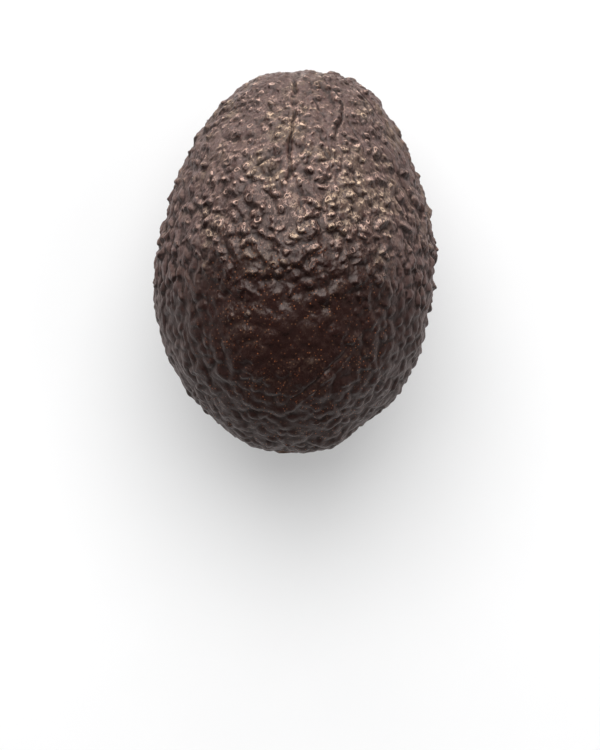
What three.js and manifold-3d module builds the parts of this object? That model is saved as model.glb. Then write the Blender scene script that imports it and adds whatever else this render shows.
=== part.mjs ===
// A whole ripe avocado lying on its side, as a three.js scene graph in millimetres with +Z up.
// The stem end points along +Y and the blossom end along -Y. The fruit rests on z = 0, on the
// small flat spot that its own weight presses into the skin, and the origin is the middle of
// its footprint.
import * as THREE from "three";
import { mergeVertices } from "three/addons/utils/BufferGeometryUtils.js";
import Module from "manifold-3d";

// ---- driving dimensions, in millimetres and degrees ----
const LENGTH = 96.8; // stem end to blossom end, before the stem dimple is pressed in
const WIDTH = 69.8; // across the fruit, side to side, at its middle
const THICKNESS = 69; // across the fruit, top to underside, at its middle
const TAPER = 0.076; // how much slimmer the stem half is than the blossom half
const SHOULDER = 0.36; // how bluntly the stem end is rounded off
const POINTING = 0.22; // how much the blossom end draws in
const DIP = 6.8; // the stem end hangs this far below level as the fruit lies
const LEAN = 3; // the stem end points this far to the right of +Y
const FLAT_SPOT = 0.8; // height taken off the belly by the resting spot

const STEM_DIMPLE = { depth: 3.2, radius: 8 };
const BLOSSOM_DIMPLE = { depth: 0.7, radius: 3.2 };
const SOCKET = { mouth: 4.85, floor: 4.25, depth: 1.8 }; // two radii and a depth
const GAP = 0.3; // clearance between the button and its socket, beside and below it

// The button's half outline as [radius, height], from the middle of its foot to that of its cut top.
const BUTTON_OUTLINE = [
  [0, 0],
  [3.5, 0],
  [4.05, 1],
  [4.15, 1.45],
  [3.5, 2.15],
  [2.9, 2.4],
  [0, 2.25],
];

const AROUND = 72; // facets round the fruit's girth
const ALONG = 46; // facets from end to end
const BUTTON_SIDES = 28;

// ---- the fruit's form, on its own straight axis along Y ----

// Girth at a place along the axis, as a share of the middle's: 1 is the stem end, -1 the blossom end.
function girth(along) {
  const stemward = Math.max(along, 0);
  const blossomward = Math.max(-along, 0);
  return 1 - TAPER * along + SHOULDER * stemward ** 8 - POINTING * blossomward ** 6;
}

// How far a round dimple presses the surface in at a distance from the axis.
function pressedIn(dimple, fromAxis) {
  return dimple.depth * Math.exp(-((fromAxis / dimple.radius) ** 2));
}

// Moves a point of the unit sphere, whose poles are the two ends, to the fruit's surface.
function moveToSurface(point) {
  const along = point.y;
  const x = (WIDTH / 2) * girth(along) * point.x;
  const z = (THICKNESS / 2) * girth(along) * point.z;
  const dimple = along > 0 ? STEM_DIMPLE : BLOSSOM_DIMPLE;
  const inward = pressedIn(dimple, Math.hypot(x, z)) * along * Math.abs(along);
  point.set(x, (LENGTH / 2) * along - inward, z);
}

function fruitForm() {
  const form = new THREE.SphereGeometry(1, AROUND, ALONG);
  const position = form.getAttribute("position");
  const point = new THREE.Vector3();
  for (let i = 0; i < position.count; i++) {
    point.fromBufferAttribute(position, i);
    moveToSurface(point);
    position.setXYZ(i, point.x, point.y, point.z);
  }
  return form;
}

// ---- the stem button and its socket ----
const socketFloor = LENGTH / 2 - STEM_DIMPLE.depth - SOCKET.depth; // along the axis

// The round socket that the button's foot stands in, as a cutter that reaches out of the fruit.
function socketCutter() {
  const height = SOCKET.depth + STEM_DIMPLE.depth;
  const cutter = new THREE.CylinderGeometry(SOCKET.mouth, SOCKET.floor, height, BUTTON_SIDES);
  return cutter.translate(0, socketFloor + height / 2, 0);
}

// The dry stub of stalk left where the fruit was clipped from its tree.
function buttonForm() {
  const outline = BUTTON_OUTLINE.map(([radius, height]) => new THREE.Vector2(radius, height));
  const button = new THREE.LatheGeometry(outline, BUTTON_SIDES);
  return button.translate(0, socketFloor + GAP, 0);
}

// ---- cutting ----
const wasm = await Module();
wasm.setup();

function toSolid(geometry) {
  const bare = geometry.clone();
  bare.deleteAttribute("normal");
  bare.deleteAttribute("uv");
  const merged = mergeVertices(bare, 1e-4);
  const mesh = new wasm.Mesh({
    numProp: 3,
    vertProperties: merged.getAttribute("position").array,
    triVerts: new Uint32Array(merged.getIndex().array),
  });
  return new wasm.Manifold(mesh);
}

function toGeometry(solid) {
  const mesh = solid.getMesh();
  const geometry = new THREE.BufferGeometry();
  geometry.setAttribute("position", new THREE.BufferAttribute(mesh.vertProperties, 3));
  geometry.setIndex(new THREE.BufferAttribute(mesh.triVerts, 1));
  geometry.computeVertexNormals();
  return geometry;
}

// ---- how the fruit lies ----
const dip = THREE.MathUtils.degToRad(-DIP);
const lean = THREE.MathUtils.degToRad(-LEAN);
const lying = new THREE.Matrix4().makeRotationFromEuler(new THREE.Euler(dip, 0, lean, "ZXY"));

const uncut = fruitForm().applyMatrix4(lying);
uncut.computeBoundingBox();
const floorHeight = uncut.boundingBox.min.z + FLAT_SPOT;
const belowFloor = new THREE.BoxGeometry(WIDTH, LENGTH, THICKNESS);
belowFloor.translate(0, 0, floorHeight - THICKNESS / 2);
const socket = socketCutter().applyMatrix4(lying);
const fruitSolid = toSolid(uncut).subtract(toSolid(socket)).subtract(toSolid(belowFloor));

const fruitGeometry = toGeometry(fruitSolid);
fruitGeometry.computeBoundingBox();
const middle = fruitGeometry.boundingBox.getCenter(new THREE.Vector3());

// ---- the two pieces, with the middle of the footprint at the origin ----
const fruit = new THREE.Mesh(
  fruitGeometry,
  new THREE.MeshStandardMaterial({ color: 0x3a2723, roughness: 0.5, metalness: 0 }),
);
fruit.name = "fruit";
fruit.position.set(-middle.x, -middle.y, -floorHeight);

const stemButton = new THREE.Mesh(
  buttonForm().applyMatrix4(lying),
  new THREE.MeshStandardMaterial({ color: 0x6b5138, roughness: 0.9, metalness: 0 }),
);
stemButton.name = "stem_button";
stemButton.position.copy(fruit.position);

const avocado = new THREE.Group();
avocado.add(fruit, stemButton);

export default avocado;
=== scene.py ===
"""A whole ripe avocado lying on its side, with a pebbled dark skin and a dry stem button, on a pale stage.

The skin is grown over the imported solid. A smooth egg-like form is fitted to the solid's box, and then
swells, pebbles, grains, wrinkles and creases are raised on it in the mesh itself. Everything is in
metres, with +Z up and the stem end towards +Y.
"""
import itertools
import math

import bpy
import numpy as np
from bpy.props import FloatProperty, FloatVectorProperty, IntProperty, PointerProperty
from mathutils import Matrix, Vector


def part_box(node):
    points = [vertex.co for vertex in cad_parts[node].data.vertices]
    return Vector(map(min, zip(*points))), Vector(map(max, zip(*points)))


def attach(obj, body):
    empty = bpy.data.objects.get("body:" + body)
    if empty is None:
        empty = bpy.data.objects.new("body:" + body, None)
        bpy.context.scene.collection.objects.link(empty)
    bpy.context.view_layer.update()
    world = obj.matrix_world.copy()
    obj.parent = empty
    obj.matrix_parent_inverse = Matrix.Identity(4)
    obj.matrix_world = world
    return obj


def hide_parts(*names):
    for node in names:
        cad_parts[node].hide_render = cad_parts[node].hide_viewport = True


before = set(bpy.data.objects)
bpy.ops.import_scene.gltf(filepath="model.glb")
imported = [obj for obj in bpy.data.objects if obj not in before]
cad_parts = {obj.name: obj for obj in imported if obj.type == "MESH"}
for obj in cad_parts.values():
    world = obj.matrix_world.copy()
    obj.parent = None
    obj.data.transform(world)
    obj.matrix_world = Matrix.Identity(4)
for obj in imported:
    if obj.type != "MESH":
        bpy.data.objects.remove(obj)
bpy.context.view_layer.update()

bl_info = {
    "name": "Ripe Avocado",
    "version": (1, 0, 0),
    "blender": (4, 5, 0),
    "location": "View3D > Sidebar > Avocado",
    "description": "Grows a pebbled avocado and its stem button over a packed solid, and sets a pale stage",
    "category": "Add Mesh",
}

MM = 0.001
FRUIT_LOW, FRUIT_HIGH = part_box("fruit")

FLOOR_REACH = 1.5  # from the middle of the floor to its edges
FLOOR_GLOW_WAYS = (50 * MM, 110 * MM)  # where the near glow ends, and where the further one starts
HORIZON = (0.93, 0.93, 0.93, 1)  # the room's colour where the camera sees it
TIP_HOLLOW = 0.1  # how far the hollow in a bump's tip spreads, as a squared share of the bump's radius
STROKE_REACH = 2.4 * MM  # how far from its line a crease or fold is drawn


# ---- settings that a user would change ----

class AvocadoForm(bpy.types.PropertyGroup):
    """The smooth shape under the pebbles."""
    length: FloatProperty(
        name="Length", description="Stem end to blossom end, before the dimples",
        default=96.8 * MM, unit="LENGTH")
    width: FloatProperty(
        name="Width", description="Side to side at the middle",
        default=69.8 * MM, unit="LENGTH")
    thickness: FloatProperty(
        name="Thickness", description="Top to underside at the middle",
        default=69 * MM, unit="LENGTH")
    taper: FloatProperty(
        name="Taper", description="How much slimmer the stem half is", default=0.076)
    shoulder: FloatProperty(
        name="Shoulder", description="How bluntly the stem end is rounded off", default=0.36)
    pointing: FloatProperty(
        name="Pointing", description="How much the blossom end draws in", default=0.22)
    dip: FloatProperty(
        name="Dip", description="How far the stem end hangs below level",
        default=math.radians(6.8), unit="ROTATION")
    lean: FloatProperty(
        name="Lean", description="How far the stem end points to the right",
        default=math.radians(3), unit="ROTATION")
    flat_spot: FloatProperty(
        name="Flat Spot", description="Height that the resting spot takes off the belly",
        default=0.8 * MM, unit="LENGTH")
    stem_dimple: FloatVectorProperty(
        name="Stem Dimple", description="Depth and radius of the dimple round the stem",
        size=2, default=(3.2 * MM, 8 * MM), unit="LENGTH")
    blossom_dimple: FloatVectorProperty(
        name="Blossom Dimple", description="Depth and radius of the dimple at the blossom end",
        size=2, default=(0.7 * MM, 3.2 * MM), unit="LENGTH")
    socket: FloatVectorProperty(
        name="Stem Socket", description="Depth and radius of the socket under the button",
        size=2, default=(1.8 * MM, 4.6 * MM), unit="LENGTH")
    patch_quads: IntProperty(
        name="Patch Quads", description="Quads along each edge of the skin's six patches",
        default=256, min=16)


class AvocadoSkin(bpy.types.PropertyGroup):
    """The relief and the colours of the skin."""
    seed: IntProperty(
        name="Seed", description="Another number grows another fruit", default=7)
    swell_height: FloatProperty(
        name="Swell Height", description="Rise of the broad swells",
        default=0.85 * MM, unit="LENGTH")
    pebble_spacing: FloatProperty(
        name="Pebble Spacing", description="Usual distance between pebbles round the middle",
        default=3.1 * MM, unit="LENGTH")
    pebble_height: FloatProperty(
        name="Pebble Height", description="Rise of a high pebble",
        default=0.85 * MM, unit="LENGTH")
    knob_spacing: FloatProperty(
        name="Knob Spacing", description="Usual distance between the small corky knobs",
        default=2.5 * MM, unit="LENGTH")
    knob_height: FloatProperty(
        name="Knob Height", description="Rise of a high knob",
        default=0.68 * MM, unit="LENGTH")
    grain_height: FloatProperty(
        name="Grain Height", description="Rise of the small grains between the pebbles",
        default=0.12 * MM, unit="LENGTH")
    wrinkle_height: FloatProperty(
        name="Wrinkle Height", description="Rise of the fine wrinkles",
        default=0.1 * MM, unit="LENGTH")
    droop: FloatProperty(
        name="Droop", description="How far a pebble leans to the blossom end, as a share of its rise",
        default=0.4)
    sink: FloatProperty(
        name="Sink", description="How far the valleys lie inside the solid's surface",
        default=0.6 * MM, unit="LENGTH")
    # Painted shade: this near-black stands in for the shadow in the hollows and on the bumps' blossom-facing
    # sides.
    painted_shade: FloatVectorProperty(
        name="Night", description="Darkest skin, down between the pebbles",
        subtype="COLOR", default=(0.008, 0.0031, 0.0026))
    plum: FloatVectorProperty(
        name="Plum", description="Usual skin on the broad half",
        subtype="COLOR", default=(0.018, 0.0072, 0.0061))
    # Besides being the stem half's own paler skin, this colour is laid on the flanks as painted light.
    umber: FloatVectorProperty(
        name="Umber", description="Paler leathery skin of the stem half",
        subtype="COLOR", default=(0.065, 0.0375, 0.034))
    olive: FloatVectorProperty(
        name="Olive", description="Patches where green shows through",
        subtype="COLOR", default=(0.075, 0.053, 0.035))
    # This colour and the yellower one below are partly the knobs' real corky rims and crests, and partly
    # painted highlight on their stem-facing sides.
    cork_and_highlight: FloatVectorProperty(
        name="Cork", description="Corky rims of the knobs and crests",
        subtype="COLOR", default=(0.56, 0.37, 0.3))
    yellow_cork_and_highlight: FloatVectorProperty(
        name="Honey", description="Yellower cork, in places",
        subtype="COLOR", default=(0.54, 0.39, 0.275))
    scar: FloatVectorProperty(
        name="Scar", description="Dry skin in the stem socket and on the blossom scar",
        subtype="COLOR", default=(0.12, 0.07, 0.042))
    rust: FloatVectorProperty(
        name="Rust", description="Fine specks, most of them on the dark half",
        subtype="COLOR", default=(0.26, 0.085, 0.035))


class AvocadoStem(bpy.types.PropertyGroup):
    """The dry stub of stalk."""
    seed: IntProperty(
        name="Seed", description="Another number weathers the stub differently", default=3)
    patch_quads: IntProperty(
        name="Patch Quads", description="Quads along each edge of the stub's six patches",
        default=56, min=8)
    gap: FloatProperty(
        name="Gap", description="Clearance under the stub's foot", default=0.3 * MM, unit="LENGTH")
    wood: FloatVectorProperty(
        name="Wood", description="Dry stalk wood", subtype="COLOR", default=(0.3, 0.19, 0.1))
    bark: FloatVectorProperty(
        name="Bark", description="Dark bark round the rim", subtype="COLOR", default=(0.07, 0.042, 0.025))


class AvocadoStage(bpy.types.PropertyGroup):
    """The floor, the lights and the camera."""
    floor_colour: FloatVectorProperty(
        name="Floor", description="Colour of the floor", subtype="COLOR", default=(0.42, 0.42, 0.422))
    camera_height: FloatProperty(
        name="Camera Height", description="Height of the camera above the floor",
        default=0.7, unit="LENGTH")
    lens: FloatProperty(
        name="Lens", description="Focal length of the camera in millimetres", default=127)
    camera_offset: FloatVectorProperty(
        name="Camera Offset", description="Where the camera stands to the side of the fruit's middle",
        size=2, default=(1.5 * MM, -28.5 * MM), unit="LENGTH")
    softbox_size: FloatVectorProperty(
        name="Softbox Size", description="Width and height of the tall softbox on the stem side",
        size=2, default=(1.1, 1.6), unit="LENGTH")
    softbox_distance: FloatProperty(
        name="Softbox Distance", description="From the fruit to the softbox", default=1.0, unit="LENGTH")
    softbox_lean: FloatProperty(
        name="Softbox Lean", description="How far the softbox leans from overhead to the stem side",
        default=math.radians(43), unit="ROTATION")
    softbox_turn: FloatProperty(
        name="Softbox Turn", description="How far round to the right the softbox stands",
        default=math.radians(-3), unit="ROTATION")
    softbox_power: FloatProperty(
        name="Softbox Power", description="Power of the softbox", default=28, unit="POWER")
    overhead_size: FloatProperty(
        name="Overhead Size", description="Side of the overhead panel", default=1.0, unit="LENGTH")
    overhead_height: FloatProperty(
        name="Overhead Height", description="Height of the overhead panel", default=1.0, unit="LENGTH")
    overhead_shift: FloatProperty(
        name="Overhead Shift", description="How far to the right the overhead panel hangs",
        default=0.5, unit="LENGTH")
    overhead_power: FloatProperty(
        name="Overhead Power", description="Power of the overhead panel", default=2.4, unit="POWER")
    side_size: FloatVectorProperty(
        name="Side Panel Size", description="Width and height of the low panels at the two sides",
        size=2, default=(1.8, 0.5), unit="LENGTH")
    side_distance: FloatProperty(
        name="Side Panel Distance", description="From the fruit to the low side panels",
        default=1.1, unit="LENGTH")
    side_height: FloatProperty(
        name="Side Panel Height", description="Height of the low side panels", default=0.4, unit="LENGTH")
    side_powers: FloatVectorProperty(
        name="Side Panel Powers", description="Power of the left and of the right side panel",
        size=2, default=(1.0, 0.7))
    floor_glow: FloatVectorProperty(
        name="Floor Glow",
        description="Light that the floor gives off by itself: near, further off, at the edge",
        size=3, default=(0.36, 0.46, 0.74))
    room_light: FloatProperty(
        name="Room Light", description="Strength of the even light of the room", default=0.06)


# ---- the skin's points, and noise on them ----

def patch_sphere(quads):
    """A unit sphere as six square patches that share their edges.

    Gives its points, the four corners of each quad, and the place of each corner on a map three
    patches wide and two high.
    """
    step = np.arange(quads + 1)
    first, second = np.meshgrid(step, step, indexing="ij")
    margin = 0.006
    corners, places, grids = [], [], []
    for number, (axis, side) in enumerate(itertools.product(range(3), (0, quads))):
        grid = np.empty((quads + 1, quads + 1, 3), int)
        grid[..., axis] = side
        grid[..., (axis + 1) % 3] = first
        grid[..., (axis + 2) % 3] = second
        index = np.arange(grid[..., 0].size).reshape(first.shape) + number * first.size
        quad = np.stack([index[:-1, :-1], index[1:, :-1], index[1:, 1:], index[:-1, 1:]], -1).reshape(-1, 4)
        corners.append(quad if side else quad[:, ::-1])
        across = (margin + first / quads * (1 - 2 * margin) + number % 3) / 3
        up = (margin + second / quads * (1 - 2 * margin) + number // 3) / 2
        places.append(np.stack([across.ravel(), up.ravel()], 1))
        grids.append(grid.reshape(-1, 3))
    grids = np.concatenate(grids)
    names = (grids[:, 0] * (quads + 1) + grids[:, 1]) * (quads + 1) + grids[:, 2]
    _, kept, shared = np.unique(names, return_index=True, return_inverse=True)
    corners = np.concatenate(corners)
    places = np.concatenate(places)[corners.ravel()]
    points = np.tan((grids[kept] / quads - 0.5) * math.pi / 2)
    points /= np.linalg.norm(points, axis=1, keepdims=True)
    return points, shared.ravel()[corners], places


def quad_normals(points, quads):
    """The outward direction of a quad mesh at each of its points."""
    facing = np.cross(points[quads[:, 2]] - points[quads[:, 0]], points[quads[:, 3]] - points[quads[:, 1]])
    total = np.stack([
        sum(np.bincount(corner, facing[:, k], len(points)) for corner in quads.T)
        for k in range(3)
    ], 1)
    return total / np.linalg.norm(total, axis=1, keepdims=True)


class Grain:
    """Smooth random noise in space, from about -1 to 1, the same for the same seed."""

    def __init__(self, rng):
        self.table = rng.permutation(256)
        slopes = rng.normal(size=(256, 3))
        self.slopes = slopes / np.linalg.norm(slopes, axis=1, keepdims=True)

    def __call__(self, points, size):
        at = points / size
        cell = np.floor(at).astype(int)
        within = at - cell
        ease = within ** 3 * (within * (within * 6 - 15) + 10)
        total = np.zeros(len(points))
        for corner in itertools.product((0, 1), repeat=3):
            mixed = self.table[(cell[:, 0] + corner[0]) & 255]
            mixed = self.table[(mixed + cell[:, 1] + corner[1]) & 255]
            mixed = self.table[(mixed + cell[:, 2] + corner[2]) & 255]
            share = np.prod(np.where(corner, ease, 1 - ease), axis=1)
            total += share * np.einsum("ij,ij->i", self.slopes[mixed], within - corner)
        return total * 1.6


class Cloud:
    """Points sorted into cubic cells, so that those near a place are found quickly."""

    def __init__(self, points, reach):
        self.points = points
        self.reach = reach
        self.low = points.min(0) - 2 * reach
        cells = ((points - self.low) / reach).astype(np.int64)
        self.counts = cells.max(0) + 3
        keys = self._key(cells)
        self.order = np.argsort(keys, kind="stable")
        self.keys = keys[self.order]
        self.columns = np.array([(x, y, 0) for x in (-1, 0, 1) for y in (-1, 0, 1)])

    def _key(self, cells):
        return (cells[..., 0] * self.counts[1] + cells[..., 1]) * self.counts[2] + cells[..., 2]

    def near(self, place):
        """Numbers of the points in the cells round a place, one cell each way."""
        middle = self._key(((place - self.low) / self.reach).astype(np.int64) + self.columns)
        starts = np.searchsorted(self.keys, middle - 1)
        ends = np.searchsorted(self.keys, middle + 1, side="right")
        return np.concatenate([self.order[a:b] for a, b in zip(starts, ends)])


def scatter(cloud, spacing, rng):
    """Numbers of points spread over the cloud, none nearer to another than its own spacing."""
    free = np.ones(len(cloud.points), bool)
    chosen = []
    for i in rng.permutation(len(free)):
        if free[i]:
            chosen.append(i)
            near = cloud.near(cloud.points[i])
            gone = np.linalg.norm(cloud.points[near] - cloud.points[i], axis=1) < spacing[i]
            free[near[gone]] = False
    return np.array(chosen)


def ease_between(low, high, value):
    """0 below low, 1 above high, and a smooth step between."""
    share = np.clip((value - low) / (high - low), 0, 1)
    return share * share * (3 - 2 * share)


# ---- the fruit ----

class Skin:
    """The fruit's skin while it grows: smooth points first, and then a rise for each of them."""

    def __init__(self, form, patch_quads):
        self.form = form
        self.directions, self.quads, self.map_places = patch_sphere(patch_quads)
        self.along = self.directions[:, 1]
        raw = self.smooth_points(self.directions)
        floor = raw[:, 2].min() + form.flat_spot
        low = np.array([raw[:, 0].min(), raw[:, 1].min(), floor])
        self.low = low
        self.stretch = (np.array(FRUIT_HIGH) - np.array(FRUIT_LOW)) / (raw.max(0) - low)
        self.points = self.placed(raw)
        self.normals = quad_normals(self.points, self.quads)
        self.starts = self.quads.ravel()
        self.stops = np.roll(self.quads, -1, 1).ravel()
        self.links = np.bincount(self.starts)

    def softened(self, values, rounds):
        """The values, blurred over the skin by averaging with their neighbours."""
        for _ in range(rounds):
            values = (values + np.bincount(self.starts, values[self.stops]) / self.links) / 2
        return values

    def girth(self, along):
        """Girth at a place along the axis, as a share of the middle's."""
        form = self.form
        stemward = np.clip(along, 0, 1)
        blossomward = np.clip(-along, 0, 1)
        return 1 - form.taper * along + form.shoulder * stemward ** 8 - form.pointing * blossomward ** 6

    def smooth_points(self, directions):
        """The lying fruit's smooth surface in the given directions from its middle."""
        form = self.form
        along = directions[:, 1]
        x = form.width / 2 * self.girth(along) * directions[:, 0]
        z = form.thickness / 2 * self.girth(along) * directions[:, 2]
        y = form.length / 2 * along
        from_axis = np.hypot(x, z)
        end = np.where(along > 0, 1, 0)
        depth = np.where(end, form.stem_dimple[0], form.blossom_dimple[0])
        radius = np.where(end, form.stem_dimple[1], form.blossom_dimple[1])
        y -= depth * np.exp(-(from_axis / radius) ** 2) * along * np.abs(along)
        mouth = form.socket[1]
        sunk = form.socket[0] * (1 - ease_between(0.9 * mouth, 1.07 * mouth, from_axis))
        y -= np.where(along > 0.9, sunk, 0)
        return self.laid_down(np.stack([x, y, z], 1))

    def laid_down(self, upright):
        """Turns points from the fruit's own straight axis to how it lies."""
        turned = Matrix.Rotation(-self.form.lean, 3, "Z") @ Matrix.Rotation(-self.form.dip, 3, "X")
        return upright @ np.array(turned).T

    def from_axis(self):
        """Each point's distance from the fruit's axis, and its angle round it."""
        x = self.form.width / 2 * self.directions[:, 0]
        z = self.form.thickness / 2 * self.directions[:, 2]
        return self.girth(self.along) * np.hypot(x, z), np.arctan2(x, z)

    def placed(self, raw):
        """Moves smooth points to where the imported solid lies."""
        return (raw - self.low) * self.stretch + np.array(FRUIT_LOW)

    def place_at(self, turn, along):
        """The smooth surface's point at an angle round the axis from the top, in degrees, and along it."""
        turn = np.radians(turn)
        across = np.sqrt(1 - along ** 2)
        directions = np.stack([across * np.sin(turn), along, across * np.cos(turn)], -1)
        return self.placed(self.smooth_points(np.atleast_2d(directions)))


class Bumps:
    """A set of rounded bumps: places on the skin, and how wide, high, long, turned and marked each is."""

    def __init__(self, skin, chosen, radius, height, stretch=1.0, turn=0.0, mark=0.0, hollow=0.0):
        full = np.ones(len(chosen))
        self.places = skin.points[chosen]
        self.normals = skin.normals[chosen]
        side = np.cross((0, 1, 0), self.normals)
        self.sides = side / (np.linalg.norm(side, axis=1, keepdims=True) + 1e-9)
        self.lengths = np.cross(self.normals, self.sides)
        self.radius, self.height, self.stretch = radius * full, height * full, stretch * full
        self.turn, self.mark, self.hollow = turn * full, mark * full, hollow * full

    def strung(self, rng, links, step):
        """Each bump drawn out into a bent string of smaller and smaller ones."""
        keys = (
            "places", "normals", "sides", "lengths", "radius", "height", "stretch", "turn", "mark", "hollow")
        parts = {key: [getattr(self, key)] for key in keys}
        heading = rng.uniform(0, 2 * math.pi, len(self.radius))
        places = self.places
        for link in range(1, int(links.max())):
            heading = heading + rng.normal(0, 0.75, len(heading))
            ahead = self.lengths * np.cos(heading)[:, None] + self.sides * np.sin(heading)[:, None]
            places = places + ahead * (step * self.radius)[:, None]
            kept = links > link
            for key in keys:
                changed = {
                    "places": places,
                    "height": self.height * rng.uniform(0.6, 1.1, len(heading)),
                    "radius": self.radius * rng.uniform(0.7, 1.05, len(heading)),
                }
                parts[key].append(changed.get(key, getattr(self, key))[kept])
        for key in keys:
            setattr(self, key, np.concatenate(parts[key]))
        return self


def raise_bumps(warped, bumps, blend=2.4, sharpness=1.5):
    """Raises bumps that run into one another where they meet.

    Gives each point's height, and how near it is to the tip of a marked bump.
    """
    cloud = Cloud(warped, float((bumps.radius * bumps.stretch).max()))
    pile = np.zeros(len(warped))
    tip = np.zeros(len(warped))
    long_ways = bumps.lengths * np.cos(bumps.turn)[:, None] + bumps.sides * np.sin(bumps.turn)[:, None]
    short_ways = np.cross(bumps.normals, long_ways)
    for place, long_way, short_way, r, h, s, mark, hollow in zip(
            bumps.places, long_ways, short_ways, bumps.radius, bumps.height, bumps.stretch, bumps.mark,
            bumps.hollow):
        near = cloud.near(place)
        gap = warped[near] - place
        away = (gap @ long_way / (r * s)) ** 2 + (gap @ short_way / r) ** 2
        inside = away < 1
        near, away = near[inside], away[inside]
        dome = (1 - away) ** sharpness
        profile = dome - hollow * np.exp(-away / TIP_HOLLOW) if hollow else dome
        # Right at the bump's edge the hollow's tail would dip under the skin, so it is cut off there.
        pile[near] += np.maximum(h * profile, 0.0) ** blend
        if mark:
            tip[near] = np.maximum(tip[near], dome * mark)
    return pile ** (1 / blend), tip


# Broad lumps of this fruit: turn from the top in degrees, place along, radius and height in mm.
LUMPS = [
    (90, 0.72, 11, 0.8), (-90, 0.92, 7, -0.9), (-90, 0.82, 6, -0.7), (-90, 0.18, 12, -0.9),
    (-90, -0.26, 5, 0.5), (90, 0.1, 7, 0.3), (-90, -0.94, 9, 0.8), (0, -1, 12, 0.6),
    (80, -0.93, 6, 1.8), (90, -0.7, 7, 0.9), (90, -0.5, 7, 0.7), (90, -0.2, 6, -0.4),
    (42, 0.4, 7, -0.6), (0, -0.05, 10, 1.1), (-30, -0.05, 10, 0.8), (30, -0.05, 10, 0.8),
    (150, 0.3, 12, 0.6), (-140, -0.4, 11, 0.5), (180, -0.8, 10, 0.5),
]

# Creases and folds: half width and height in mm, and places on the way as turn and place along.
STROKES = [
    (0.75, -0.8, [(-7.5, 0.97), (-7, 0.93), (-6.5, 0.84), (-6, 0.75), (-5.2, 0.7)]),
    (0.42, -0.8, [(-4.6, 0.69), (-4, 0.6), (-5, 0.52), (-4.6, 0.45), (-3.4, 0.37), (-4.5, 0.28)]),
    (0.8, 0.3, [(-8.5, 0.9), (-8, 0.75), (-6.5, 0.6), (-7.4, 0.45)]),
    (0.7, 0.25, [(-3.5, 0.88), (-2.5, 0.72), (-1.5, 0.6), (-2.4, 0.5)]),
    (0.34, -0.5, [
        (15, 0.925), (17, 0.88), (24, 0.82), (26.5, 0.76), (23.6, 0.67), (19.4, 0.59), (17.2, 0.5)]),
    (0.8, 0.8, [
        (11, 0.93), (14, 0.885), (21, 0.82), (23, 0.76), (20.6, 0.67), (16.8, 0.59), (14.8, 0.52)]),
    (0.45, 0.32, [(20, 0.95), (30, 0.9), (37, 0.85), (42, 0.77)]),
    (0.45, 0.28, [(33, 0.94), (41, 0.88), (47, 0.8), (50, 0.7)]),
    (0.6, 0.35, [(52, 0.92), (58, 0.84), (61, 0.74), (62, 0.6)]),
    (0.4, -0.35, [(46, 0.9), (53, 0.82), (56, 0.72), (57, 0.62)]),
    (0.35, -0.3, [(27, 0.66), (31, 0.56), (34, 0.46)]),
    (0.4, -0.5, [(-20, 0.36), (-17, 0.385), (-14, 0.42)]),
    (0.35, -0.3, [(8, 0.78), (11, 0.7), (14, 0.63)]),
    (0.35, -0.22, [(28, -0.52), (20, -0.63), (9, -0.74), (0, -0.8)]),
    (0.6, 0.22, [(31, -0.54), (23, -0.65), (12, -0.76), (3, -0.83)]),
    (0.5, -0.25, [(-60, 0.9), (-63, 0.78), (-68, 0.66)]),
    (0.5, -0.25, [(120, 0.92), (124, 0.82), (121, 0.7), (125, 0.6)]),
    (0.5, -0.25, [(-150, 0.93), (-154, 0.84), (-151, 0.75), (-156, 0.62)]),
]


def shape_lumps(skin):
    """The broad lumps' height at each point."""
    total = np.zeros(len(skin.points))
    for turn, along, radius, height in LUMPS:
        away = np.linalg.norm(skin.points - skin.place_at(turn, np.float64(along)), axis=1)
        total += height * MM * np.exp(-(away / (radius * MM)) ** 2)
    return total


def draw_strokes(skin, warped, roughly):
    """The creases' and folds' height at each point, and how much they smooth away the bumps."""
    total = np.zeros(len(skin.points))
    calm = np.zeros(len(skin.points))
    cloud = Cloud(warped, STROKE_REACH)
    for half_width, height, places in STROKES:
        turns, alongs = np.array(places, float).T
        share = np.linspace(0, len(places) - 1, 60 * len(places))
        knots = np.arange(len(places))
        path = skin.place_at(np.interp(share, knots, turns), np.interp(share, knots, alongs))
        fade = np.sqrt(np.clip(np.sin(share / share[-1] * math.pi), 0.02, 1))
        away = np.full(len(total), np.inf)
        strong = np.zeros(len(total))
        for place, strength in zip(path, fade):
            near = cloud.near(place)
            gap = np.linalg.norm(warped[near] - place, axis=1)
            nearer = gap < away[near]
            away[near[nearer]] = gap[nearer]
            strong[near[nearer]] = strength
        profile = strong * np.exp(-(away / (half_width * MM)) ** 2)
        total += height * MM * profile * (1 + 0.5 * roughly)
        if height < 0:
            calm = np.maximum(calm, strong * np.exp(-(away / (2.2 * half_width * MM)) ** 2))
    return total, calm


def shape_ends(skin, noise):
    """The puckered rim round the stem socket and the small scar at the blossom end.

    Gives the height at each point, how plainly the usual bumps show, and how dry the skin is.
    """
    away, angle = skin.from_axis()
    away = away / MM
    stem_end = skin.along > 0
    round_it = np.stack([np.cos(angle), np.sin(angle), away / 60], 1)
    pucker = np.clip(1 - 2.2 * np.abs(noise(round_it, 0.3)), 0, 1)
    rim = 0.3 * np.exp(-((away - 6.1) / 1.1) ** 2) + 0.42 * pucker * np.exp(-((away - 7.2) / 2.3) ** 2)
    scar = 0.22 * np.exp(-((away - 1.9) / 0.5) ** 2) - 0.4 * np.exp(-(away / 1.3) ** 2)
    height = np.where(stem_end, rim, scar) * MM
    plain = np.where(stem_end, ease_between(4.9, 8.5, away), ease_between(0.8, 3, away))
    dry = np.where(stem_end, 1 - ease_between(4.6, 5.6, away), 1 - ease_between(1.2, 2.3, away))
    return height, plain, dry


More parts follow.
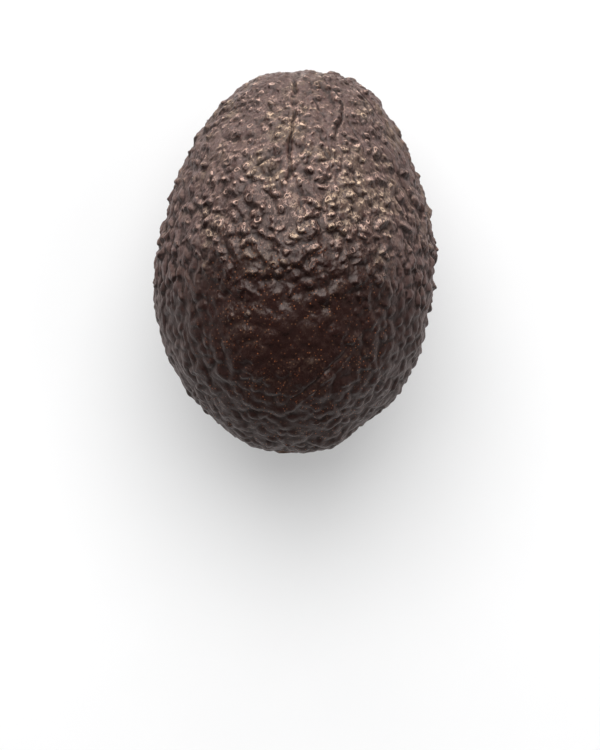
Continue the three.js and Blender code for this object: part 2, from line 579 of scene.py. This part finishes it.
def grow_relief(skin, look):
    """Raises swells, pebbles, knobs, grains and wrinkles over the whole skin, and draws the creases."""
    rng = np.random.default_rng(look.seed)
    wide, broad, fine, tiny = (Grain(rng) for _ in range(4))
    warps = [Grain(rng) for _ in range(3)]
    points, along = skin.points, skin.along
    stemward = ease_between(0.1, 0.62, along)
    bellyward = ease_between(0.1, 0.4, -along)
    patchy = broad(points, 6 * MM)
    flank = skin.flank = ease_between(0.45, 0.85, np.abs(skin.normals[:, 0])) * (1 - 0.5 * bellyward)

    bend = np.stack([
        warp(points, 3.4 * MM) * 0.65 * MM + warp(points, 1.3 * MM) * 0.18 * MM for warp in warps
    ], 1)
    warped = points + bend - skin.normals * np.einsum("ij,ij->i", bend, skin.normals)[:, None]

    # Broad swells, which make the outline uneven.
    chosen = scatter(Cloud(points, 5 * MM), np.full(len(points), 4.4 * MM), rng)
    count = len(chosen)
    swells, _ = raise_bumps(warped, Bumps(
        skin, chosen, rng.uniform(2.4, 4, count) * MM, look.swell_height * rng.uniform(0.2, 1, count),
        rng.uniform(1, 1.6, count), rng.uniform(0, math.pi, count)))
    swells *= 1 - 0.3 * stemward - 0.35 * bellyward
    hollows = wide(points, 17 * MM) * 0.5 * MM + patchy * 0.2 * MM

    # Pebbles: gathered into bent strings, highest round the middle, and broad and low on the blossom half.
    spacing = look.pebble_spacing * (1 + 0.15 * stemward - 0.22 * bellyward) * (1 + 0.3 * patchy)
    chosen = scatter(Cloud(points, 1.6 * look.pebble_spacing), spacing, rng)
    count = len(chosen)
    gathered = 0.4 + 0.7 * ease_between(-0.45, 0.4, broad(points[chosen] + 0.1, 4.4 * MM))
    belly = bellyward[chosen]
    upward = ease_between(0.7, 0.95, skin.normals[chosen, 2])
    rugged = 1 - 0.4 * stemward[chosen] - belly * (0.22 + 0.5 * upward)
    rugged *= 1 + 0.2 * flank[chosen]
    radius = rng.uniform(0.36, 0.56, count) * look.pebble_spacing
    radius *= 1 - 0.15 * stemward[chosen] + 0.2 * belly
    height = look.pebble_height * (gathered + (0.9 - gathered) * 0.7 * belly)
    height = height * rng.uniform(0.4, 1, count) * rugged
    links = np.where(rng.uniform(size=count) < 0.4 + 0.3 * belly, 1, rng.integers(1, 4, count))
    aside = flank[chosen]
    pebbles, _ = raise_bumps(warped, Bumps(
        skin, chosen, radius, height, rng.uniform(1, 1.5, count) + rng.uniform(0, 0.8, count) * aside,
        rng.normal(0, 1.2 - 0.8 * aside, count),
    ).strung(rng, links, 0.9), 1.6, 1.8)

    # Corky knobs, large and small: plain to see near the stem, and lost among the pebbles further down.
    knobs = np.zeros(len(points))
    tip = np.zeros(len(points))
    common = (0.03 + 0.97 * ease_between(-0.35, 0.15, along)) * (1 - 0.3 * flank)
    sparse = 1 - 0.55 * (1 - ease_between(0.25, 0.5, along))
    for apart, low, high, least, most, share in (
            (1.5, 0.95, 1.35, 0.5, 1, common), (0.95, 0.5, 0.85, 0.4, 0.85, common * sparse)):
        spacing = apart * look.knob_spacing * (1 + 0.5 * fine(points, 7 * MM))
        chosen = scatter(Cloud(points, 1.6 * apart * look.knob_spacing), spacing, rng)
        chosen = chosen[rng.uniform(size=len(chosen)) < share[chosen]]
        count = len(chosen)
        size = rng.uniform(low, high, count)
        layer, layer_tip = raise_bumps(warped, Bumps(
            skin, chosen, size * MM, look.knob_height * size * rng.uniform(0.45, 0.95, count),
            rng.uniform(1, 1.6, count), rng.normal(0, 0.5, count),
            rng.uniform(least, most, count), rng.uniform(0, 0.65, count)), sharpness=1.4)
        knobs = np.maximum(knobs, layer)
        tip = np.maximum(tip, layer_tip)

    # Grains between and on the pebbles.
    chosen = scatter(Cloud(points, 1.2 * MM), 0.85 * MM * (1 + 0.35 * fine(points, 3 * MM)), rng)
    count = len(chosen)
    grains, _ = raise_bumps(warped, Bumps(
        skin, chosen, rng.uniform(0.4, 0.7, count) * MM, look.grain_height * rng.uniform(0.05, 1.2, count),
        rng.uniform(1, 2, count), rng.normal(0, 0.9, count)))

    # Fine wrinkles, drawn out lengthwise towards the stem.
    drawn = warped * np.stack([np.ones_like(along), 1 - 0.45 * stemward, np.ones_like(along)], 1)
    crinkle = np.clip(1 - 2.6 * np.abs(fine(drawn, 2.1 * MM)), 0, 1) ** 1.5
    crinkle += 0.6 * np.clip(1 - 2.6 * np.abs(tiny(drawn, 1.15 * MM)), 0, 1) ** 1.5
    wrinkled = 0.4 + 0.6 * ease_between(-0.3, 0.3, broad(points - 0.1, 7 * MM))
    wrinkles = look.wrinkle_height * crinkle * wrinkled

    leathery = fine(points + 0.2, 2.7 * MM) * 0.16 * MM + tiny(points + 0.3, 1.5 * MM) * 0.07 * MM

    folds, calm = draw_strokes(skin, warped, fine(points, 1.6 * MM))
    ends, plain, skin.dry = shape_ends(skin, fine)
    lively = (1 - 0.8 * calm) * plain
    small = (grains + wrinkles + leathery) * (1 - 0.6 * bellyward)
    bumpy = (pebbles + knobs + small) * lively
    skin.tip = tip * lively
    skin.lean = look.droop * (pebbles + knobs) * lively
    skin.rise = shape_lumps(skin) + (swells + hollows - look.sink) * plain + bumpy + folds + ends
    fine_rise = bumpy + folds + swells + ends
    # crest and pit: how far a point stands above or sinks below its neighbours. The material draws pale
    # crest lines from crest, and paints shade into the hollows from pit.
    skin.crest = (fine_rise - skin.softened(fine_rise, 10)) / (0.12 * MM)
    skin.pit = (skin.softened(fine_rise, 40) - fine_rise) / (0.3 * MM)


def finish_points(skin):
    """The skin's final points: raised along the normals, and pressed flat where the fruit rests."""
    press = 0.3 * MM
    base = skin.points.copy()
    base[:, 2] = (base[:, 2] + np.sqrt(base[:, 2] ** 2 + press ** 2)) / 2
    blossom_way = np.array([0.0, -1.0, 0.0]) + skin.normals * skin.normals[:, 1:2]
    done = base + skin.normals * skin.rise[:, None] + blossom_way * skin.lean[:, None]
    done[:, 2] = np.maximum(done[:, 2], 0)
    return done


def quad_mesh(name, points, quads, map_places, values):
    """A smooth mesh of quads with a map named for baking and some named values at its points."""
    mesh = bpy.data.meshes.new(name)
    mesh.from_pydata(points, [], quads)
    mesh.shade_smooth()
    layer = mesh.uv_layers.new(name="OFBake")
    layer.uv.foreach_set("vector", map_places.astype(np.float32).ravel())
    for key, value in values.items():
        attribute = mesh.attributes.new(key, "FLOAT", "POINT")
        attribute.data.foreach_set("value", value.astype(np.float32))
    piece = bpy.data.objects.new(name, mesh)
    bpy.context.scene.collection.objects.link(piece)
    return piece


# The stub's half outline as radius and height in mm, from the middle of its cut top to that of its foot.
STUB_OUTLINE = [(0, 2.25), (2.9, 2.4), (3.5, 2.15), (4.15, 1.45), (4.05, 1), (3.5, 0), (0, 0)]


def stem_button_form(form, look):
    """The dry stub of stalk on the fruit's own axis: points, quads, map places, and how much wood shows."""
    rng = np.random.default_rng(look.seed)
    lumpy, fibrous = Grain(rng), Grain(rng)
    directions, quads, map_places = patch_sphere(look.patch_quads)
    outline = np.array(STUB_OUTLINE)
    run = np.concatenate([[0], np.cumsum(np.linalg.norm(np.diff(outline, axis=0), axis=1))])
    share = np.arccos(np.clip(directions[:, 1], -1, 1)) / math.pi * run[-1]
    radius = np.interp(share, run, outline[:, 0])
    height = np.interp(share, run, outline[:, 1])
    turn = np.arctan2(directions[:, 0], directions[:, 2])
    ring = np.stack([np.cos(turn), np.sin(turn), height / 8], 1)

    on_top = 1 - ease_between(run[1] - 0.5, run[2] + 0.3, share)
    bark = np.clip(1 - 2.4 * np.abs(lumpy(ring, 0.42)), 0, 1)
    radius = radius * (1 - 0.07 * bark * (1 - on_top) - 0.05 * (lumpy(ring, 1.3) + 0.6))
    rings = 0.05 * np.cos(radius * 2 * math.pi / 0.75)
    cracks = np.clip(1 - 5 * np.abs(fibrous(ring * [1, 1, 0], 0.75)), 0, 1) * ease_between(0.4, 1.2, radius)
    spongy = fibrous(np.stack([radius * np.sin(turn), height, radius * np.cos(turn)], 1), 0.55)
    height = height + on_top * (rings - 0.32 * cracks + 0.09 * spongy - 0.25 * np.exp(-(radius / 1.1) ** 2))
    woody = on_top * (1 - 0.7 * cracks)

    foot = form.length / 2 - form.stem_dimple[0] - form.socket[0] + look.gap
    points = np.stack([radius * MM * np.sin(turn), foot + height * MM, radius * MM * np.cos(turn)], 1)
    return points, quads, map_places, woody


# ---- materials ----

class Nodes:
    """Adds nodes to a material and joins them up."""

    def __init__(self, name):
        self.material = bpy.data.materials.new(name)
        self.material.use_nodes = True
        self.tree = self.material.node_tree
        self.tree.nodes.clear()
        self.output = self.tree.nodes.new("ShaderNodeOutputMaterial")

    def add(self, kind, inputs=None, **settings):
        """Adds a node. An input is a number, a colour or another node's output."""
        node = self.tree.nodes.new("ShaderNode" + kind)
        for key, value in settings.items():
            setattr(node, key, value)
        for key, value in (inputs or {}).items():
            self.put(node.inputs[key], value)
        return node

    def put(self, socket, value):
        if isinstance(value, bpy.types.NodeSocket):
            self.tree.links.new(value, socket)
        elif isinstance(value, (float, int)):
            socket.default_value = value
        else:
            socket.default_value = (*value, 1)[:len(socket.default_value)]

    def value(self, name):
        """A named value of the mesh's points."""
        return self.add("Attribute", attribute_name=name).outputs["Fac"]

    def math(self, operation, first, second=0.0, clamp=False):
        return self.add("Math", {0: first, 1: second}, operation=operation, use_clamp=clamp).outputs[0]

    def range(self, value, low, high, to_low=0.0, to_high=1.0):
        """Turns the values between low and high into values between the other two, smoothly."""
        inputs = {"Value": value, "From Min": low, "From Max": high, "To Min": to_low, "To Max": to_high}
        return self.add("MapRange", inputs, interpolation_type="SMOOTHSTEP").outputs["Result"]

    def noise(self, place, size, detail=3.0, roughness=0.55):
        inputs = {"Vector": place, "Scale": 1 / size, "Detail": detail, "Roughness": roughness}
        return self.add("TexNoise", inputs).outputs["Fac"]

    def mix(self, share, first, second, blend="MIX"):
        node = self.add("Mix", data_type="RGBA", blend_type=blend)
        self.put(node.inputs[0], share)
        self.put(node.inputs[6], first)
        self.put(node.inputs[7], second)
        return node.outputs[2]

    def finish(self, shader):
        self.tree.links.new(shader, self.output.inputs["Surface"])
        return self.material


def skin_material(look):
    """Satin plum-brown skin: paler and corkier towards the stem, with rust specks on the dark half, painted
    shade in the hollows and painted light on the flanks and the knobs' stem-facing sides.
    """
    n = Nodes("avocado_skin")
    place = n.add("TexCoord").outputs["Object"]
    crest, pit, tip, uphill, side, flank, stemward, dry = (
        n.value(name) for name in ("crest", "pit", "tip", "uphill", "side", "flank", "stemward", "dry"))

    cloudy = n.noise(place, 9 * MM, 4)
    mottled = n.noise(place, 1.6 * MM, 4, 0.6)
    grainy = n.noise(place, 0.5 * MM, 4, 0.7)
    drawn = n.add("VectorMath", {0: place, 1: (1.0, 0.5, 1.0)}, operation="MULTIPLY").outputs["Vector"]
    crinkled = n.noise(drawn, 0.95 * MM, 3, 0.6)
    crinkle = n.range(n.math("ABSOLUTE", n.math("SUBTRACT", crinkled, 0.5)), 0.02, 0.09, 1.0, 0.0)

    paler = n.math("ADD", stemward, n.math("MULTIPLY", n.math("SUBTRACT", cloudy, 0.5), 0.6))
    # Painted light: the flanks are made paler, as if lit from the sides.
    paler = n.math("ADD", paler, n.math("MULTIPLY", flank, 0.5))
    body = n.mix(n.range(paler, 0.15, 0.85), look.plum, look.umber)
    mossy = n.math("ADD", n.range(mottled, 0.4, 0.7, 0.0, 0.4), n.range(cloudy, 0.5, 0.62, 0.0, 0.4))
    body = n.mix(n.math("MULTIPLY", mossy, stemward), body, look.olive)
    body = n.mix(n.range(tip, 0.1, 0.5, 0.0, 0.75), body, look.plum)
    # Painted shade: the colour goes towards the near-black in the hollows, more so on the sides and
    # underside, and on the bumps' blossom-facing sides.
    pit_shade = n.math("MULTIPLY", pit, n.math("ADD", 1.0, n.math("MULTIPLY", side, 0.8)))
    body = n.mix(n.range(pit_shade, 0.08, 0.7, 0.0, 0.94), body, look.painted_shade)
    body = n.mix(n.range(uphill, -0.1, -0.4, 0.0, 0.88), body, look.painted_shade)

    # Thin pale lines along the crests, and broken pale rims round the knobs' darker tips: partly corky skin
    # and partly painted highlight, kept to the stem-facing sides of the bumps and faded on the flanks.
    line = n.math("MULTIPLY", n.range(crest, 0.0, 0.6, 0.3, 1.0), crinkle)
    line = n.math("MULTIPLY", line, n.range(cloudy, 0.4, 0.55, 0.35, 1.0))
    # The pale marks grow towards the stem; they are faded on the sides and kept to the bumps' stem-facing
    # sides as painted highlight.
    cork_highlight_share = n.math("MULTIPLY", n.range(stemward, 0.05, 0.5, 0.1, 1.0), n.range(side, 0.0, 1.0, 1.0, 0.3))
    cork_highlight_share = n.math("MULTIPLY", cork_highlight_share, n.range(uphill, -0.1, 0.18, 0.1, 1.0))
    line = n.math("MULTIPLY", line, n.math("MULTIPLY", cork_highlight_share, 0.75))
    cork_and_highlight = n.mix(n.range(cloudy, 0.5, 0.6), look.cork_and_highlight, look.yellow_cork_and_highlight)
    body = n.mix(line, body, cork_and_highlight)
    ring = n.math("MULTIPLY", n.range(tip, 0.46, 0.56), n.range(tip, 0.6, 0.7, 1.0, 0.0))
    rim = n.math("MULTIPLY", ring, n.range(mottled, 0.38, 0.46))
    rim = n.math("MULTIPLY", rim, cork_highlight_share)
    body = n.mix(rim, body, cork_and_highlight)
    body = n.mix(n.math("MULTIPLY", dry, n.range(mottled, 0.3, 0.6, 0.35, 0.9)), body, look.scar)

    dots = n.add("TexVoronoi", {"Vector": place, "Scale": 1 / (0.7 * MM), "Randomness": 1.0})
    dot = n.range(dots.outputs["Distance"], 0.15, 0.3, 1.0, 0.0)
    rare = n.range(dots.outputs["Color"], 0.3, 0.65)
    rare = n.math("MULTIPLY", rare, n.range(cloudy, 0.38, 0.55, 0.3, 1.0))
    speck = n.mix(n.range(mottled, 0.4, 0.6), look.rust, look.scar)
    rare = n.math("MULTIPLY", rare, n.range(n.math("ADD", stemward, flank), 0.1, 0.5, 0.9, 0.15))
    body = n.mix(n.math("MULTIPLY", dot, rare), body, speck)

    rough = n.range(mottled, 0.3, 0.7, 0.2, 0.3)
    rough = n.math("ADD", rough, n.math("MULTIPLY", side, 0.2), clamp=True)
    rough = n.math("ADD", rough, n.math("MULTIPLY", pit, 0.3), clamp=True)
    rough = n.math("ADD", rough, n.math("MULTIPLY", dry, 0.4), clamp=True)

    height = n.math("ADD", n.math("MULTIPLY", grainy, 0.6), n.math("MULTIPLY", crinkle, 0.4))
    height = n.math("MULTIPLY", height, n.range(stemward, 0.0, 0.5, 0.3, 1.0))
    height = n.math("ADD", height, n.math("MULTIPLY", ring, 0.7))
    bump = n.add("Bump", {"Height": height, "Strength": 0.9, "Distance": 0.16 * MM})
    shader = n.add("BsdfPrincipled", {
        "Base Color": body,
        "Roughness": rough,
        "Specular IOR Level": 0.3,
        "Specular Tint": (1.0, 0.9, 0.86),
        "Sheen Weight": 0.08,
        "Sheen Roughness": 0.4,
        "Sheen Tint": (1.0, 0.5, 0.4),
        "Normal": bump.outputs["Normal"],
    })
    return n.finish(shader.outputs["BSDF"])


def stem_material(look):
    """Dry weathered stalk wood, dark on the bark and in the cracks."""
    n = Nodes("dry_stem")
    place = n.add("TexCoord").outputs["Object"]
    woody = n.value("woody")
    fibres = n.noise(place, 0.5 * MM, 5, 0.65)
    stained = n.noise(place, 1.8 * MM, 3)
    bare = n.math("ADD", woody, n.math("MULTIPLY", fibres, 0.5))
    colour = n.mix(n.range(bare, 0.4, 1.1), look.bark, look.wood)
    colour = n.mix(n.range(stained, 0.45, 0.7, 0.0, 0.55), colour, look.bark)
    bump = n.add("Bump", {"Height": fibres, "Strength": 0.7, "Distance": 0.12 * MM})
    shader = n.add("BsdfPrincipled", {
        "Base Color": colour,
        "Roughness": n.range(fibres, 0.3, 0.7, 0.75, 0.95),
        "Normal": bump.outputs["Normal"],
    })
    return n.finish(shader.outputs["BSDF"])


# ---- operators: one for each piece, and one for the stage ----

class GrowFruit(bpy.types.Operator):
    """Grow the whole fruit with its pebbled skin"""
    bl_idname = "avocado.grow_fruit"
    bl_label = "Grow Fruit"

    def execute(self, context):
        form, look = context.scene.avocado_form, context.scene.avocado_skin
        skin = Skin(form, form.patch_quads)
        grow_relief(skin, look)
        points = finish_points(skin)
        turned = quad_normals(points, skin.quads) - skin.normals
        stem_way = np.array([0.0, 1.0, 0.0]) - skin.normals * skin.normals[:, 1:2]
        outward = np.hypot(skin.normals[:, 0], np.minimum(skin.normals[:, 1], 0))
        # Values for the material. Besides roughness and real colour, they place painted light: pit, side and
        # uphill put painted shade in the hollows and on the bumps' blossom-facing sides, uphill keeps the
        # painted highlights to their stem-facing sides, and flank makes the sides paler as painted light.
        values = {
            "crest": np.clip(skin.crest, 0, 1),
            "pit": np.clip(skin.pit, 0, 1),
            "tip": skin.tip,
            "uphill": np.einsum("ij,ij->i", turned, stem_way),
            "side": ease_between(0.4, 0.9, np.maximum(outward, -skin.normals[:, 2])),
            "flank": skin.flank,
            "dry": skin.dry,
            "stemward": ease_between(-0.45, 0.75, skin.along),
        }
        piece = quad_mesh("pebbled_fruit", points, skin.quads, skin.map_places, values)
        piece.data.materials.append(skin_material(look))
        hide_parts("fruit")
        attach(piece, "root")
        return {"FINISHED"}


class MakeStemButton(bpy.types.Operator):
    """Make the dry stub of stalk in the stem dimple"""
    bl_idname = "avocado.make_stem_button"
    bl_label = "Make Stem Button"

    def execute(self, context):
        form, look = context.scene.avocado_form, context.scene.avocado_stem
        points, quads, map_places, woody = stem_button_form(form, look)
        skin = Skin(form, 32)
        values = {"woody": woody}
        piece = quad_mesh("stem_stub", skin.placed(skin.laid_down(points)), quads, map_places, values)
        piece.data.materials.append(stem_material(look))
        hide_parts("stem_button")
        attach(piece, "root")
        return {"FINISHED"}


class SetStage(bpy.types.Operator):
    """Lay the floor, hang the softbox and stand the camera over the fruit"""
    bl_idname = "avocado.set_stage"
    bl_label = "Set Stage"

    def execute(self, context):
        stage = context.scene.avocado_stage
        middle = (FRUIT_LOW + FRUIT_HIGH) / 2
        self.lay_floor(context, stage)
        self.hang_lights(context, stage, middle)
        self.light_room(context, stage)
        self.stand_camera(context, stage, middle)
        context.scene.view_settings.view_transform = "Standard"
        return {"FINISHED"}

    def lay_floor(self, context, stage):
        mesh = bpy.data.meshes.new("floor")
        corners = [(x * FLOOR_REACH, y * FLOOR_REACH, 0) for x, y in ((-1, -1), (1, -1), (1, 1), (-1, 1))]
        mesh.from_pydata(corners, [], [(0, 1, 2, 3)])
        floor = bpy.data.objects.new("floor", mesh)
        context.scene.collection.objects.link(floor)
        n = Nodes("floor_paper")
        place = n.add("TexCoord").outputs["Object"]
        darker = [0.985 * c for c in stage.floor_colour]
        tint = n.mix(n.range(n.noise(place, 30 * MM), 0.3, 0.7), stage.floor_colour, darker)
        away = n.add("VectorMath", {"Vector": place}, operation="LENGTH").outputs["Value"]
        near, further, edge = stage.floor_glow
        # The floor gives off less light near the fruit than further off, a painted shade round it, and more
        # towards its edge, so that it fades into the pale room.
        glow = n.range(away, *FLOOR_GLOW_WAYS, near, further)
        rising = n.range(away, 0.4 * FLOOR_REACH, 0.9 * FLOOR_REACH, 0.0, edge - further)
        glow = n.math("ADD", glow, rising)
        shader = n.add("BsdfPrincipled", {"Base Color": tint, "Roughness": 0.6, "Specular IOR Level": 0.3,
            "Emission Color": (1, 1, 1), "Emission Strength": glow})
        mesh.materials.append(n.finish(shader.outputs["BSDF"]))

    def hang_light(self, context, name, middle, away, size, power):
        """Hangs an area light that faces the fruit, some way off in the given direction."""
        light = bpy.data.lights.new(name, "AREA")
        light.shape = "RECTANGLE"
        light.size, light.size_y = size
        light.energy = power
        lamp = bpy.data.objects.new(name, light)
        lamp.location = middle + away
        lamp.rotation_euler = away.to_track_quat("Z", "Y").to_euler()
        context.scene.collection.objects.link(lamp)
        return lamp

    def hang_lights(self, context, stage, middle):
        """A tall softbox on the stem side, an overhead panel that leaves no shine, and two side panels."""
        tilt = Matrix.Rotation(-stage.softbox_turn, 3, "Z") @ Matrix.Rotation(-stage.softbox_lean, 3, "X")
        away = tilt @ Vector((0, 0, stage.softbox_distance))
        self.hang_light(context, "softbox", middle, away, stage.softbox_size, stage.softbox_power)
        away = Vector((stage.overhead_shift, 0, stage.overhead_height))
        size = (stage.overhead_size, stage.overhead_size)
        overhead = self.hang_light(context, "overhead", middle, away, size, stage.overhead_power)
        overhead.visible_glossy = False
        for side, power in zip((-1, 1), stage.side_powers):
            away = Vector((side * stage.side_distance, 0, stage.side_height - middle.z))
            self.hang_light(context, "side_panel", middle, away, stage.side_size, power)

    def light_room(self, context, stage):
        """Dim even light on the objects, in a room that looks pale."""
        world = bpy.data.worlds.new("room")
        world.use_nodes = True
        tree = world.node_tree
        room = tree.nodes["Background"]
        room.inputs["Color"].default_value = (1, 1, 1, 1)
        room.inputs["Strength"].default_value = stage.room_light
        seen = tree.nodes.new("ShaderNodeBackground")
        seen.inputs["Color"].default_value = HORIZON
        path = tree.nodes.new("ShaderNodeLightPath")
        mix = tree.nodes.new("ShaderNodeMixShader")
        tree.links.new(path.outputs["Is Camera Ray"], mix.inputs["Fac"])
        tree.links.new(room.outputs["Background"], mix.inputs[1])
        tree.links.new(seen.outputs["Background"], mix.inputs[2])
        tree.links.new(mix.outputs["Shader"], tree.nodes["World Output"].inputs["Surface"])
        context.scene.world = world

    def stand_camera(self, context, stage, middle):
        camera = bpy.data.objects.new("camera", bpy.data.cameras.new("camera"))
        camera.data.lens = stage.lens
        right, back = stage.camera_offset
        camera.location = (middle.x + right, middle.y + back, stage.camera_height)
        context.scene.collection.objects.link(camera)
        context.scene.camera = camera


class AvocadoPanel(bpy.types.Panel):
    """Lists the avocado's operators in the sidebar."""
    bl_idname = "VIEW3D_PT_avocado"
    bl_label = "Avocado"
    bl_space_type = "VIEW_3D"
    bl_region_type = "UI"
    bl_category = "Avocado"

    def draw(self, context):
        for operator in OPERATORS:
            self.layout.operator(operator.bl_idname)


SETTINGS = {
    "avocado_form": AvocadoForm,
    "avocado_skin": AvocadoSkin,
    "avocado_stem": AvocadoStem,
    "avocado_stage": AvocadoStage,
}
OPERATORS = (GrowFruit, MakeStemButton, SetStage)


def register():
    for kind in (*SETTINGS.values(), *OPERATORS, AvocadoPanel):
        bpy.utils.register_class(kind)
    for name, kind in SETTINGS.items():
        setattr(bpy.types.Scene, name, PointerProperty(type=kind))


def unregister():
    for name in SETTINGS:
        delattr(bpy.types.Scene, name)
    for kind in (AvocadoPanel, *reversed(OPERATORS), *reversed(SETTINGS.values())):
        bpy.utils.unregister_class(kind)


def main():
    register()
    bpy.ops.avocado.grow_fruit()
    bpy.ops.avocado.make_stem_button()
    bpy.ops.avocado.set_stage()


if __name__ == "__main__":
    main()
